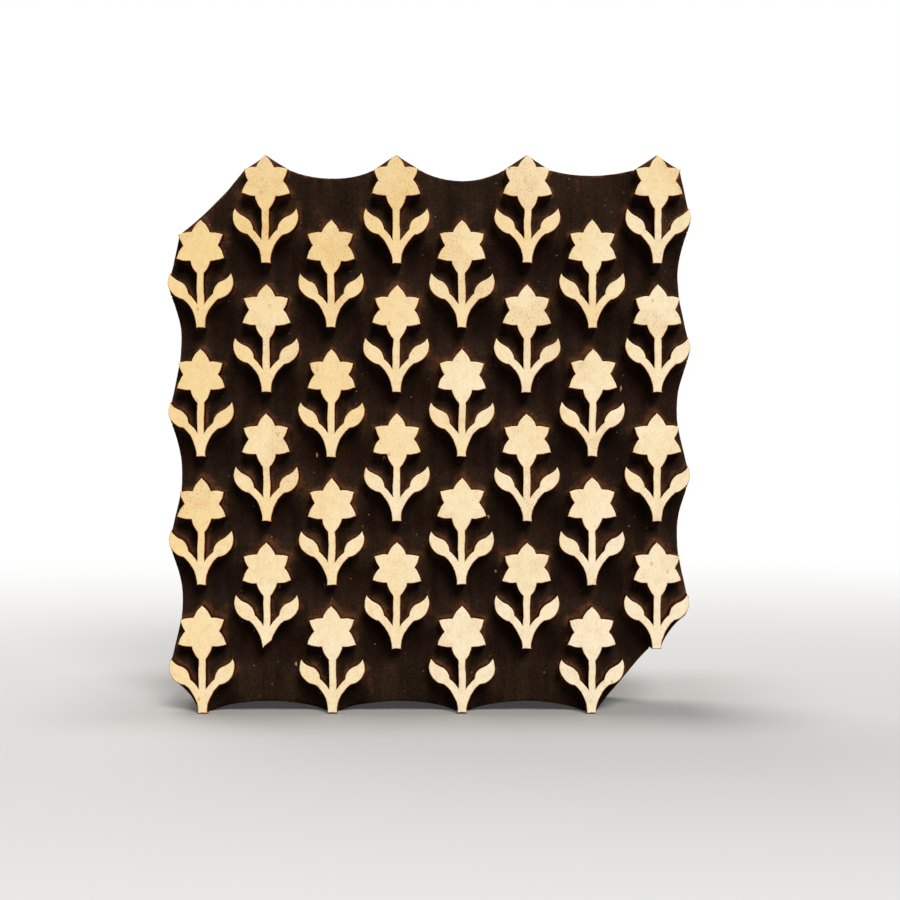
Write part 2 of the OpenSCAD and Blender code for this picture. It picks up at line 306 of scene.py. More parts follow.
class Bench:
    """Builds the nodes of one material, or of the sky."""

    def __init__(self, owner):
        owner.use_nodes = True
        self.owner = owner
        self.tree = owner.node_tree
        self.tree.nodes.clear()

    def node(self, kind, inputs=None, **settings):
        """A node with its settings made and its inputs set or linked."""
        made = self.tree.nodes.new(kind)
        for key, value in settings.items():
            setattr(made, key, value)
        for key, value in (inputs or {}).items():
            self.feed(made.inputs[key], value)
        return made

    def feed(self, socket, value):
        """Links a socket to the input, or sets the input's own value."""
        if isinstance(value, bpy.types.NodeSocket):
            self.tree.links.new(value, socket)
        elif socket.type == "RGBA":
            socket.default_value = (*value[:3], 1)
        else:
            socket.default_value = value

    def place(self):
        """Object coordinates, in metres."""
        return self.node("ShaderNodeTexCoord").outputs["Object"]

    def axes(self, vector):
        """The three parts of a vector."""
        return self.node("ShaderNodeSeparateXYZ", {0: vector}).outputs

    def vector(self, x, y, z):
        """A vector from its three parts."""
        return self.node("ShaderNodeCombineXYZ", {0: x, 1: y, 2: z}).outputs[0]

    def shaped(self, vector, location=(0, 0, 0), scale=(1, 1, 1)):
        """Coordinates scaled and then moved."""
        inputs = {"Vector": vector, "Location": location, "Scale": scale}
        return self.node("ShaderNodeMapping", inputs).outputs[0]

    def vector_math(self, operation, a, b):
        """One sum on two vectors."""
        return self.node("ShaderNodeVectorMath", {0: a, 1: b}, operation=operation).outputs[0]

    def math(self, operation, a, b=0.0, clamp=False):
        """One sum on two numbers."""
        return self.node("ShaderNodeMath", {0: a, 1: b}, operation=operation, use_clamp=clamp).outputs[0]

    def plus(self, a, b, share):
        """A number with a share of another added."""
        return self.math("ADD", a, self.math("MULTIPLY", b, share))

    def most(self, shares):
        """The largest of some numbers, each times its share."""
        parts = [self.math("MULTIPLY", value, share) for value, share in shares]
        largest = parts[0]
        for part in parts[1:]:
            largest = self.math("MAXIMUM", largest, part)
        return largest

    def past(self, value, half):
        """How far a number lies past a half width, to either side."""
        return self.math("MAXIMUM", self.math("SUBTRACT", self.math("ABSOLUTE", value), half), 0)

    def spread(self, value, start, end, low=0.0, high=1.0):
        """A smooth step from low to high while the value goes from start to end."""
        made = self.node("ShaderNodeMapRange", interpolation_type="SMOOTHSTEP")
        for socket, given in zip(made.inputs, (value, start, end, low, high)):
            self.feed(socket, given)
        return made.outputs[0]

    def noise(self, vector, scale, detail=2.0, roughness=0.5):
        """Soft noise from 0 to 1."""
        inputs = {"Vector": vector, "Scale": scale, "Detail": detail, "Roughness": roughness}
        return self.node("ShaderNodeTexNoise", inputs).outputs["Fac"]

    def cells(self, vector, scale):
        """Distance to the nearest of many scattered points, and that point's own three random numbers."""
        made = self.node("ShaderNodeTexVoronoi", {"Vector": vector, "Scale": scale})
        return made.outputs["Distance"], self.axes(made.outputs["Color"])

    def specks(self, gap, chance, size, rarity):
        """Specks that fade out from the scattered points, at those whose chance is high."""
        return self.math("MULTIPLY", self.spread(gap, *size), self.spread(chance, *rarity))

    def mix(self, factor, a, b, blend="MIX"):
        """One colour over another, on the node's sockets for colours."""
        made = self.node("ShaderNodeMix", data_type="RGBA", blend_type=blend)
        self.feed(made.inputs[0], factor)
        self.feed(made.inputs[6], a)
        self.feed(made.inputs[7], b)
        return made.outputs[2]

    def ramp(self, value, stops):
        """A colour read off a row of stops."""
        made = self.node("ShaderNodeValToRGB", {0: value})
        points = made.color_ramp.elements
        while len(points) < len(stops):
            points.new(1)
        for point, (at, shade) in zip(points, stops):
            point.position = at
            point.color = (*shade[:3], 1)
        return made.outputs[0]

    def attribute(self, name):
        """A number stored on the mesh."""
        return self.node("ShaderNodeAttribute", attribute_name=name).outputs["Fac"]

    def facing(self):
        """The three parts of the direction that the surface faces."""
        return self.axes(self.node("ShaderNodeNewGeometry").outputs["Normal"])

    def seen(self):
        """1 for rays that show a surface, and 0 for rays that only bring its light to others."""
        path = self.node("ShaderNodeLightPath").outputs
        direct = self.math("MAXIMUM", path["Is Camera Ray"], path["Is Glossy Ray"])
        return self.math("MAXIMUM", direct, path["Is Transmission Ray"])

    def bump(self, height, strength, distance, normal=None):
        """A small relief that only the light sees."""
        inputs = {"Height": height, "Strength": strength, "Distance": distance}
        if normal is not None:
            inputs["Normal"] = normal
        return self.node("ShaderNodeBump", inputs).outputs[0]

    def finish(self, base, roughness, normal, metallic=0.0, specular=0.3):
        """Closes the material with a surface shader."""
        inputs = {
            "Base Color": base,
            "Roughness": roughness,
            "Normal": normal,
            "Metallic": metallic,
            "Specular IOR Level": specular,
        }
        return self.close(self.node("ShaderNodeBsdfPrincipled", inputs))

    def close(self, shader, kind="ShaderNodeOutputMaterial"):
        """Links the last shader to the output, and returns what has been built."""
        self.node(kind, {0: shader.outputs[0]})
        return self.owner


def sprig_feet():
    """Places of the sprigs' feet, column by column from the left."""
    feet = []
    for column in range(COLUMNS):
        lift = HALF_DROP if column % 2 else 0
        for row in range(ROWS):
            z = FIRST_FOOT_Z + lift + 2 * row * HALF_DROP
            feet.append(Vector((FIRST_FOOT_X + column * COLUMN_PITCH, GROUND_Y, z)))
    return feet


def merged_copy(node, gap):
    """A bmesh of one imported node, its loose triangles merged, with a place to mark wear."""
    form = bmesh.new()
    form.from_mesh(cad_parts[node].data)
    form.faces.layers.float.new("worn")
    bmesh.ops.remove_doubles(form, verts=form.verts, dist=gap)
    return form


def sharp_edges(form):
    """Edges at which two faces meet at an angle."""
    return [edge for edge in form.edges if len(edge.link_faces) == 2 and edge.calc_face_angle() > EDGE_ANGLE]


def rim_edges(form, faces):
    """Edges around a set of faces."""
    return [edge for edge in form.edges if sum(face in faces for face in edge.link_faces) == 1]


def ease(form, edges, width, steps):
    """Rounds the edges, draws back what runs out of the old form at a corner, and returns the new faces."""
    before = BVHTree.FromBMesh(form)
    made = bmesh.ops.bevel(
        form,
        geom=edges,
        offset=width,
        offset_type="OFFSET",
        segments=steps,
        profile=0.5,
        affect="EDGES",
        material=-1,
        clamp_overlap=False,
        loop_slide=True,
    )
    for vert in made["verts"]:
        place, _, _, gap = before.find_nearest(vert.co)
        if gap > width:
            vert.co = place
    return made["faces"]


def eased_copy(node, gap, width):
    """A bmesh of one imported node, its flat faces joined and its edges eased, and the faces of the easing."""
    form = merged_copy(node, gap)
    bmesh.ops.dissolve_limit(form, angle_limit=FLAT_ANGLE, verts=form.verts, edges=form.edges)
    eased = ease(form, sharp_edges(form), width, EDGE_STEPS)
    return form, eased


def wear(form, faces, amount=1):
    """Marks faces whose finish is rubbed off or, with a negative amount, that have caught dirt."""
    layer = form.faces.layers.float["worn"]
    for face in faces:
        face[layer] = amount


def stray(point, amount, reach, seed):
    """How far a cut through the block strays at one point, alike through its whole depth."""
    sideways = noise.noise(Vector((point.x / reach, seed, point.z / reach)))
    upward = noise.noise(Vector((point.x / reach, seed + UPWARD_SEED, point.z / reach)))
    return Vector((sideways, 0, upward)) * amount


def follow_saw(form, sizes):
    """Moves every point with the strayed line of the saw and the knife, and keeps the foot on the floor."""
    for vert in form.verts:
        here = vert.co.copy()
        shake = stray(here, sizes.stray / STRAY_TO_SHAKE, SHAKE_REACH, SHAKE_SEED)
        vert.co += stray(here, sizes.stray, SAW_REACH, SAW_SEED) + shake
        vert.co.z = max(vert.co.z, 0)


def placed(name, data):
    """A new object in the scene."""
    made = bpy.data.objects.new(name, data)
    bpy.context.scene.collection.objects.link(made)
    return made


def as_object(form, name):
    """An object that takes over a form."""
    mesh = bpy.data.meshes.new(name)
    form.to_mesh(mesh)
    form.free()
    return placed(name, mesh)


def add_piece(form, name, node, material):
    """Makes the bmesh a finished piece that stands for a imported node."""
    for face in form.faces:
        face.smooth = True
    for edge in form.edges:
        edge.smooth = edge.smooth and len(edge.link_faces) == 2 and edge.calc_face_angle() < SHADE_ANGLE
    piece = as_object(form, name)
    piece.data.materials.append(material)
    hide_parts(node)
    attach(piece, BODY)


def split_long(form, edges, step):
    """Splits each edge into parts no longer than about the step."""
    groups = {}
    for edge in edges:
        cuts = int(edge.calc_length() / step)
        if cuts:
            groups.setdefault(cuts, []).append(edge)
    for cuts, group in sorted(groups.items()):
        bmesh.ops.subdivide_edges(form, edges=group, cuts=cuts)


def loops_only(form, edges):
    """Deletes everything but the given closed loops of edges."""
    wanted = set(edges)
    bmesh.ops.delete(form, geom=form.faces[:], context="FACES_ONLY")
    bmesh.ops.delete(form, geom=[edge for edge in form.edges if edge not in wanted], context="EDGES")
    bmesh.ops.delete(form, geom=[vert for vert in form.verts if not vert.link_edges], context="VERTS")


def draw_out_tips(faces, share):
    """Draws each pointed corner out, so that the rounding of the edges leaves it sharp."""
    moves = []
    for face in faces:
        face.normal_update()
        for corner in face.loops:
            if corner.is_convex and corner.calc_angle() < TIP_ANGLE:
                middle = (corner.link_loop_prev.vert.co + corner.link_loop_next.vert.co) / 2
                moves.append((corner.vert, (corner.vert.co - middle) * share))
    for vert, move in moves:
        vert.co += move


def fill_and_thicken(form, front, back, drawn_out=0.0):
    """Fills closed loops of edges, draws out their corners and makes solids of them between two depths."""
    faces = bmesh.ops.edgeloop_fill(form, edges=form.edges[:])["faces"]
    draw_out_tips(faces, drawn_out)
    made = bmesh.ops.extrude_face_region(form, geom=faces)["geom"]
    behind = {part for part in made if isinstance(part, bmesh.types.BMVert)}
    for vert in form.verts:
        vert.co.y = back if vert in behind else front
    bmesh.ops.recalc_face_normals(form, faces=form.faces[:])


def sawn_outline(sizes):
    """The block's outline as a thick plate, its edge strayed as the saw left it."""
    form = merged_copy("printing_plank", MERGE_GAP)
    edge_loop = []
    for edge in form.edges:
        if all(vert.co.y > CORE_Y - MERGE_GAP for vert in edge.verts):
            reach = min(vert.co.y for face in edge.link_faces for vert in face.verts)
            if reach < GROUND_Y + RELIEF / 2:
                edge_loop.append(edge)
    loops_only(form, edge_loop)
    split_long(form, form.edges[:], sizes.mesh_step)
    fill_and_thicken(form, FACE_Y + RELIEF / 4, CORE_Y)
    follow_saw(form, sizes)
    return form


def standing_sprigs(sizes):
    """The sprigs as separate posts that reach below the ground, with rounded upper edges."""
    form = merged_copy("printing_plank", MERGE_GAP)
    tops = {face for face in form.faces if all(vert.co.y < FACE_Y + MERGE_GAP for vert in face.verts)}
    loops_only(form, rim_edges(form, tops))
    split_long(form, form.edges[:], sizes.mesh_step)
    short = [edge for edge in form.edges if edge.calc_length() < SPECK_GAP]
    bmesh.ops.collapse(form, edges=short)
    split_foot(form, sprig_feet()[SPLIT_SPRIG])
    spread_petals(form)
    fill_and_thicken(form, FACE_Y, GROUND_Y + RELIEF / 2, DRAWN_OUT)
    tops = {face for face in form.faces if face.normal.y < -FRONT_SHARE}
    ease(form, rim_edges(form, tops), sizes.arris, ARRIS_STEPS)
    for vert in form.verts:
        here = vert.co.copy()
        slip = stray(here, sizes.ragged, SLIP_REACH, SLIP_SEED)
        vert.co += stray(here, sizes.hand, KNIFE_REACH, KNIFE_SEED) + slip
    follow_saw(form, sizes)
    return form


def spread_petals(form):
    """Spreads the petals of each flower a little, as the knife left them."""
    for foot in sprig_feet():
        centre = foot + Vector((0, 0, FLOWER_RISE))
        for vert in form.verts:
            off = vert.co - centre
            if math.hypot(off.x, off.z) < FLOWER_REACH:
                vert.co.x += PETAL_SPREAD * off.x


def split_foot(form, foot):
    """Breaks a splinter off the foot of one sprig, on a slant."""
    left = foot.x - SPLINTER_LEFT
    for vert in form.verts:
        off = vert.co - foot
        if abs(off.x) < SPLINTER_HALF and -SPLINTER_BELOW < off.z < SPLINTER_ABOVE:
            line = foot.z + SPLINTER_LIFT + SPLINTER_SLANT * (vert.co.x - left)
            vert.co.z = max(vert.co.z, line)


def gouged_ground(sizes, sprigs):
    """A plate whose front is the gouged ground, with a dish on each side of every foot."""
    low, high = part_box("printing_plank")
    middle = (low + high) / 2
    half = (high - low) / 2 + Vector((1, 1, 1)) * PLATE_MARGIN
    form = bmesh.new()
    across = round(2 * half.x / sizes.mesh_step)
    upward = round(2 * half.z / sizes.mesh_step)
    bmesh.ops.create_grid(form, x_segments=across, y_segments=upward, size=1)
    made = bmesh.ops.extrude_face_region(form, geom=form.faces[:])["geom"]
    behind = {part for part in made if isinstance(part, bmesh.types.BMVert)}
    walls = kdtree.KDTree(len(sprigs.verts))
    for number, vert in enumerate(sprigs.verts):
        walls.insert((vert.co.x, 0, vert.co.z), number)
    walls.balance()
    feet = sprig_feet()
    dishes = [foot + Vector((side * DISH_X, 0, 0)) for foot in feet for side in (-1, 1)]
    halos = [foot + Vector((0, 0, HALO_RISE)) for foot in feet]
    for vert in form.verts:
        x = middle.x + vert.co.x * half.x
        z = middle.z + vert.co.y * half.z
        vert.co = Vector((x, CORE_Y + PLATE_DEPTH, z))
        if vert not in behind:
            apart = walls.find((vert.co.x, 0, vert.co.z))[2]
            vert.co.y = GROUND_Y + ground_depth(vert.co, apart, dishes, halos, sizes)
    bmesh.ops.recalc_face_normals(form, faces=form.faces[:])
    return form


def nearest(point, places):
    """Distance across the face from a point to the nearest of some places."""
    return min(math.hypot(point.x - place.x, point.z - place.z) for place in places)


def ground_noise(point, across, upward, seed):
    """Soft noise on the face, with so many waves to the metre across and upward."""
    return noise.noise(Vector((point.x * across, seed, point.z * upward)))


def ground_depth(point, apart, dishes, halos, sizes):
    """How far the ground lies below its general level at one point."""
    dish = max(0, 1 - (nearest(point, dishes) / DISH_REACH) ** 2)
    patch = PATCH_BASE + ground_noise(point, *PATCHES)
    halo = sizes.halo * patch * math.exp(-((nearest(point, halos) / HALO_REACH) ** 2))
    mound = sizes.mound * math.exp(-apart / MOUND_REACH)
    cuts = FLUTE_SHARE * ground_noise(point, *FLUTES) + CHOP_SHARE * ground_noise(point, *CHOPS)
    return DISH_DEPTH * dish * dish + sizes.gouge * cuts - mound - halo


def worked_form(parts):
    """The form of the first object after its modifiers; all of the objects are then removed."""
    state = bpy.context.evaluated_depsgraph_get()
    result = bmesh.new()
    result.from_mesh(parts[0].evaluated_get(state).to_mesh())
    for part in parts:
        mesh = part.data
        bpy.data.objects.remove(part)
        bpy.data.meshes.remove(mesh)
    return result


def joined(first, steps):
    """One closed form from several, each added to or cut with the first."""
    parts = [as_object(first, "passing_form")]
    for form, operation in steps:
        parts.append(as_object(form, "passing_form"))
        tool = parts[0].modifiers.new(operation, "BOOLEAN")
        tool.operation = operation
        tool.object = parts[-1]
        tool.solver = "MANIFOLD"
    return worked_form(parts)


def rubbed_round(form, step, passes):
    """A closely meshed form whose edges clear of the back boards are rubbed round, and marked as worn."""
    part = as_object(form, "passing_form")
    tool = part.modifiers.new("close_mesh", "REMESH")
    tool.mode = "VOXEL"
    tool.voxel_size = step
    form = worked_form([part])
    worn = form.verts.layers.float.new("worn")
    free = [vert for vert in form.verts if vert.co.y > REAR_Y + HANDLE_CLEAR]
    before = [vert.co.copy() for vert in free]
    for _ in range(passes):
        bmesh.ops.smooth_vert(
            form, verts=free, factor=0.5, use_axis_x=True, use_axis_y=True, use_axis_z=True
        )
    for vert, start in zip(free, before):
        vert[worn] = min(1, (vert.co - start).length / WORN_THROUGH)
    return form


def is_ground(face):
    """Whether a face of the plank lies in the carved ground."""
    return face.normal.y < -FRONT_SHARE and face.calc_center_median().y > FACE_Y + RELIEF / 2


def is_side(face):
    """Whether a face of the plank lies in its sawn sides."""
    return abs(face.normal.y) < FRONT_SHARE and face.calc_center_median().y > GROUND_Y


def wear_rim(form, sizes):
    """Wears down the rim where the ground meets the sawn sides, and stores a painted highlight for it that is
    strongest where the side faces up.
    """
    rim_wear_and_light = form.verts.layers.float.new("rubbed")
    ground = {face for face in form.faces if is_ground(face)}
    for vert in form.verts:
        sides = [face for face in vert.link_faces if is_side(face)]
        if sides and any(face in ground for face in vert.link_faces):
            vert.co.y += sizes.rim_wear * (RIM_BASE + noise.noise(vert.co * RIM_WAVES))
            # Painted highlight: the rim's weight grows as its side faces up
            vert[rim_wear_and_light] = max(0.5 + 0.5 * face.normal.z for face in sides)


def is_top(face):
    """Whether a face of the plank is the sanded top of a sprig."""
    return face.normal.y < -FLAT_SHARE and face.calc_center_median().y < FACE_Y + MERGE_GAP


def clear_flaps(form):
    """Makes triangles of all faces, and deletes those that lie back to back where two surfaces cross."""
    bmesh.ops.remove_doubles(form, verts=form.verts, dist=MERGE_GAP)
    bmesh.ops.triangulate(form, faces=form.faces)
    alike = {}
    for face in form.faces:
        alike.setdefault(frozenset(face.verts), []).append(face)
    flaps = [face for group in alike.values() if len(group) > 1 for face in group]
    bmesh.ops.delete(form, geom=flaps, context="FACES")


def carve(sizes):
    """The face plank: sprigs, ground and sawn outline in one closed form."""
    sprigs = standing_sprigs(sizes)
    ground = gouged_ground(sizes, sprigs)
    form = joined(ground, ((sawn_outline(sizes), "INTERSECT"), (sprigs, "UNION")))
    clear_flaps(form)
    form.normal_update()
    wear_rim(form, sizes)
    tops = {face for face in form.faces if is_top(face)}
    for edge in rim_edges(form, tops):
        edge.smooth = False
    return form


def sanded_tops(bench, fibre, colours):
    """Sanded wood: paler to the lower right, with fibre, pores and a few dye stains."""
    place = bench.place()
    x, _, z = bench.axes(place)
    trend = bench.plus(bench.math("MULTIPLY", x, 2.6), z, -2.2)
    trend = bench.plus(trend, bench.noise(place, 26, 2), 1.1)
    sanded = bench.mix(bench.spread(trend, -0.15, 0.75), colours.sanded_warm, colours.sanded_pale)
    pore_gap, pore_chances = bench.cells(bench.shaped(place, scale=(1, 1, 0.4)), 1150)
    pores = bench.specks(pore_gap, pore_chances[0], (0.24, 0.1), (0.72, 0.8))
    soil = bench.plus(bench.noise(place, 55, 2), z, 0.7)
    patch = bench.spread(soil, 0.6, 0.72)
    stain = bench.math("MULTIPLY", patch, bench.spread(bench.noise(place, 1500, 3), 0.5, 0.72))
    fleck_gap, fleck_chances = bench.cells(bench.shaped(place, scale=(1, 1, 0.7)), 330)
    flecks = bench.specks(fleck_gap, fleck_chances[0], (0.26, 0.12), (0.9, 0.95))
    marks = bench.most(((pores, 0.4), (stain, 0.75), (flecks, 0.5), (patch, 0.12)))
    fine = bench.spread(bench.noise(place, 1900, 2), 0.42, 0.75, 0.0, 0.2)
    marks = bench.math("MAXIMUM", marks, fine)
    clouds = bench.spread(bench.noise(place, 300, 4, 0.6), 0.42, 0.75, 0.0, 0.15)
    marks = bench.math("ADD", marks, clouds)
    marks = bench.math("MAXIMUM", marks, bench.spread(fibre, 0.5, 0.8, 0.0, 0.22))
    return bench.mix(marks, sanded, colours.pore)


def carved_finish(colours):
    """Sanded tops, brown arrises as painted shade where they face down or right, stained walls, and a stained
    ground with a painted highlight on its raised parts and painted shade in its hollows and on faces that turn
    down.
    """
    bench = Bench(bpy.data.materials.new("carved_face"))
    place = bench.place()
    facing = bench.facing()
    mottle = bench.noise(place, 120, 3)
    along = bench.shaped(place, scale=(1, 1, 0.08))
    fibre = bench.noise(along, 900, 3, 0.6)
    depth = bench.math("DIVIDE", bench.math("SUBTRACT", bench.axes(place)[1], FACE_Y), RELIEF)

    # The stain below the tops, by its depth in the relief, unevenly: the reddish colour of the raised ground
    # is a painted highlight, and the darkest colour of the deepest hollows is painted shade
    uneven = bench.math("MULTIPLY", bench.math("SUBTRACT", mottle, 0.5), 0.16)
    broken = bench.math("SUBTRACT", bench.noise(place, 380, 4, 0.65), 0.5)
    uneven = bench.plus(uneven, broken, 0.15)
    level = bench.math("ADD", depth, uneven)
    stops = (
        (0.0, colours.arris),
        (0.045, colours.arris),
        (0.1, colours.wall),
        (0.4, colours.ground),
        (0.56, colours.ground_highlight),
        (0.645, colours.ground_highlight),
        (0.695, colours.ground),
        (0.86, colours.ground_deep),
        (1.0, colours.ground_deep),
    )
    stained = bench.ramp(bench.math("DIVIDE", level, 1.4), stops)
    shade = bench.spread(bench.noise(along, 210, 3), 0.3, 0.72, 0.68, 1.3)
    # Painted shade: surfaces that face downward are darkened
    shade = bench.math("MULTIPLY", shade, bench.spread(facing[2], -0.5, -0.05, 0.6, 1.0))
    fine = bench.spread(bench.noise(place, 1300, 3, 0.6), 0.3, 0.7, 0.6, 1.4)
    shade = bench.math("MULTIPLY", shade, fine)
    stained = bench.mix(1.0, stained, bench.vector(shade, shade, shade), "MULTIPLY")

    # The sawn sides, the worn rim, shown more where its side faces up as a painted highlight, and chips and
    # dust in the ground
    saw = bench.noise(bench.shaped(place, scale=(1, 0.05, 1)), 1400, 2)
    sawn = bench.mix(bench.spread(saw, 0.3, 0.75), colours.grime, colours.side)
    stained = bench.mix(bench.spread(depth, 1.3, 1.5), stained, sawn)
    # The worn rim's colour, stronger where the side faces up: real wear with a painted highlight
    rubbed = bench.math("MULTIPLY", bench.attribute("rubbed"), bench.spread(mottle, 0.35, 0.7, 0.1, 0.7))
    stained = bench.mix(rubbed, stained, colours.rim)
    chip_gap, chip_chances = bench.cells(bench.shaped(place, scale=(1, 0, 0.55)), 95)
    chip_gap = bench.plus(chip_gap, bench.noise(place, 1100, 2), 0.09)
    chips = bench.specks(chip_gap, chip_chances[1], (0.1, 0.075), (0.84, 0.85))
    dust_gap, dust_chances = bench.cells(bench.shaped(place, scale=(1, 0, 1)), 430)
    dust = bench.specks(dust_gap, dust_chances[0], (0.16, 0.08), (0.86, 0.99))
    stained = bench.mix(bench.most(((chips, 0.6), (dust, 0.3))), stained, colours.chip)

    # The sanded tops end at the arris, and a little lower where it faces up, as a painted highlight; where the
    # arris faces down or right its brown shows as painted shade
    sideways = bench.most(((facing[0], 0.6), (facing[0], -0.35)))
    upward = bench.math("SUBTRACT", facing[2], sideways)
    kept = bench.spread(upward, -0.1, 0.5, 0.0, 0.03)
    edge = bench.math("SUBTRACT", bench.plus(depth, uneven, 0.3), kept)
    lit = bench.spread(upward, -0.6, -0.15, 0.1, 1.0)
    top = bench.math("MULTIPLY", bench.spread(edge, 0.032, 0.012), lit)
    base = bench.mix(top, stained, sanded_tops(bench, fibre, colours))
    roughness = bench.spread(mottle, 0.3, 0.7, 0.62, 0.8)
    scratch = bench.noise(bench.shaped(place, scale=(1, 1, 0.2)), 380, 3)
    normal = bench.bump(scratch, 0.35, 0.4 * MM)
    normal = bench.bump(fibre, 0.12, 0.1 * MM, normal)
    return bench.finish(base, roughness, normal, specular=0.03)


def growth_rings(bench, wood, slow, ring, pith):
    """Growth rings of a given width around a pith, bent by a slow drift of the grain."""
    drift = bench.node("ShaderNodeTexNoise", {"Vector": slow, "Scale": 24, "Detail": 2}).outputs["Color"]
    centred = bench.vector_math("SUBTRACT", drift, (0.5, 0.5, 0.5))
    bent = bench.vector_math("ADD", wood, bench.vector_math("MULTIPLY", centred, (0.012, 0.012, 0.0)))
    wave = {
        "Vector": bench.shaped(bent, location=(*pith, 0)),
        "Scale": math.tau / 20 / ring,
        "Distortion": 0.9,
        "Detail": 2,
        "Detail Scale": 1,
    }
    rings = bench.node("ShaderNodeTexWave", wave, wave_type="RINGS", rings_direction="Z", wave_profile="SAW")
    return rings.outputs["Fac"]


def wood_finish(
    name, grain, dark, light, grime, ring=2.9 * MM, pith=(0.05, 0.16), soil=0.5, roughness=0.6
):
    """Plain wood with the grain along X, Y or Z: growth rings, fibre, pores, soiled sides and worn edges."""
    bench = Bench(bpy.data.materials.new(name))
    place = bench.place()
    board = bench.math("MULTIPLY", bench.attribute("board"), BOARD_SHIFT)
    x, y, z = bench.axes(bench.vector_math("ADD", place, bench.vector(board, board, board)))
    across = {"X": (y, z, x), "Y": (x, z, y), "Z": (x, y, z)}[grain]
    wood = bench.vector(*across)
    slow = bench.shaped(wood, scale=(1, 1, 0.14))
    rings = growth_rings(bench, wood, slow, ring, pith)
    along = bench.shaped(wood, scale=(1, 1, 0.04))
    fibre = bench.noise(along, 1300, 3, 0.6)
    streak = bench.noise(along, 170, 2)
    patchy = bench.spread(bench.noise(slow, 60, 2), 0.25, 0.75, 0.08, 0.34)
    tone = bench.math("MULTIPLY", bench.spread(rings, 0.1, 1.0), patchy)
    tone = bench.plus(tone, streak, 0.62)
    tone = bench.plus(tone, fibre, 0.35)
    base = bench.mix(bench.spread(tone, 0.25, 0.95), light, dark)
    pore_gap, pore_chances = bench.cells(bench.shaped(wood, scale=(1, 1, 0.07)), 850)
    pores = bench.specks(pore_gap, pore_chances[0], (0.26, 0.1), (0.5, 0.6))
    base = bench.mix(bench.math("MULTIPLY", pores, 0.55), base, grime)
    cloud = bench.noise(place, 34, 4, 0.6)
    sides = bench.spread(bench.math("ABSOLUTE", bench.facing()[1]), 0.75, 0.35, 0.0, soil)
    soiled = bench.math("MAXIMUM", bench.spread(cloud, 0.5, 0.72, 0.0, 0.7 * soil + 0.12), sides)
    base = bench.mix(soiled, base, grime)
    wear_mark = bench.attribute("worn")
    rubbed = bench.math("MAXIMUM", wear_mark, 0.0)
    rubbed = bench.math("MULTIPLY", rubbed, bench.spread(bench.noise(place, 210, 3), 0.42, 0.62, 0.0, 0.6))
    base = bench.mix(rubbed, base, light)
    caught = bench.math("MULTIPLY", wear_mark, -0.85, clamp=True)
    base = bench.mix(caught, base, grime)
    gloss = bench.spread(cloud, 0.3, 0.7, roughness - 0.1, roughness + 0.1)
    gloss = bench.math("ADD", gloss, bench.math("MULTIPLY", sides, 0.4), clamp=True)
    normal = bench.bump(bench.plus(fibre, pores, -1.2), 0.3, 0.12 * MM)
    normal = bench.bump(cloud, 0.25, 0.6 * MM, normal)
    return bench.finish(base, gloss, normal, specular=0.12)


def iron_finish(colours):
    """Dull iron with rust in patches."""
    bench = Bench(bpy.data.materials.new("screw_iron"))
    place = bench.place()
    patch = bench.noise(place, 420, 4, 0.65)
    rusty = bench.spread(patch, 0.42, 0.6)
    base = bench.mix(rusty, colours.iron, colours.rust)
    base = bench.mix(bench.spread(bench.noise(place, 1500, 2), 0.55, 0.75, 0.0, 0.6), base, colours.grime)
    metallic = bench.spread(rusty, 0.0, 1.0, 0.9, 0.1)
    roughness = bench.spread(rusty, 0.0, 1.0, 0.42, 0.8)
    normal = bench.bump(patch, 0.4, 0.15 * MM)
    return bench.finish(base, roughness, normal, metallic)


def floor_finish(colours):
    """A pale floor that keeps the shadow near the block and fades to white far off."""
    bench = Bench(bpy.data.materials.new("studio_floor"))
    place = bench.place()
    grain = bench.noise(place, 400, 2)
    base = bench.mix(bench.spread(grain, 0.3, 0.7, 0.0, 0.012), colours.floor, colours.grime)
    inputs = {"Base Color": base, "Roughness": 0.8, "Specular IOR Level": 0.1}
    shader = bench.node("ShaderNodeBsdfPrincipled", inputs)
    white = bench.node("ShaderNodeEmission", {"Color": WHITE, "Strength": 1})
    x, y, _ = bench.axes(place)
    off = bench.vector(bench.past(x, CAD_BOX[1].x), bench.past(y, CAD_BOX[1].y), 0)
    away = bench.node("ShaderNodeVectorMath", {0: off}, operation="LENGTH").outputs["Value"]
    near = bench.spread(away, -0.02, 0.07, 0.0, 0.4)
    far = bench.spread(away, 0.05, 0.7, 0.0, 0.6)
    fade = bench.math("MULTIPLY", bench.math("ADD", near, far), bench.seen())
    mixed = bench.node("ShaderNodeMixShader", {0: fade, 1: shader.outputs[0], 2: white.outputs[0]})
    return bench.close(mixed)


def make_sky(strength):
    """Even light from all round, seen as white."""
    bench = Bench(bpy.data.worlds.new("studio_sky"))
    light = bench.node("ShaderNodeBackground", {"Color": WHITE, "Strength": strength})
    white = bench.node("ShaderNodeBackground", {"Color": WHITE, "Strength": 1})
    mixed = bench.node("ShaderNodeMixShader", {0: bench.seen(), 1: light.outputs[0], 2: white.outputs[0]})
    bpy.context.scene.world = bench.close(mixed, "ShaderNodeOutputWorld")


def aim(stand, place, target):
    """Puts a lamp or the camera in its place and turns it to a point."""
    stand.location = place
    stand.rotation_euler = (Vector(target) - Vector(place)).to_track_quat("-Z", "Y").to_euler()


def add_lamp(name, kind, place, power):
    """A lamp aimed at the middle of the block, at the height of its handle."""
    lamp = bpy.data.lights.new(name, kind)
    lamp.energy = power
    aim(placed(name, lamp), place, (0, 0, MIDDLE_Z))
    return lamp


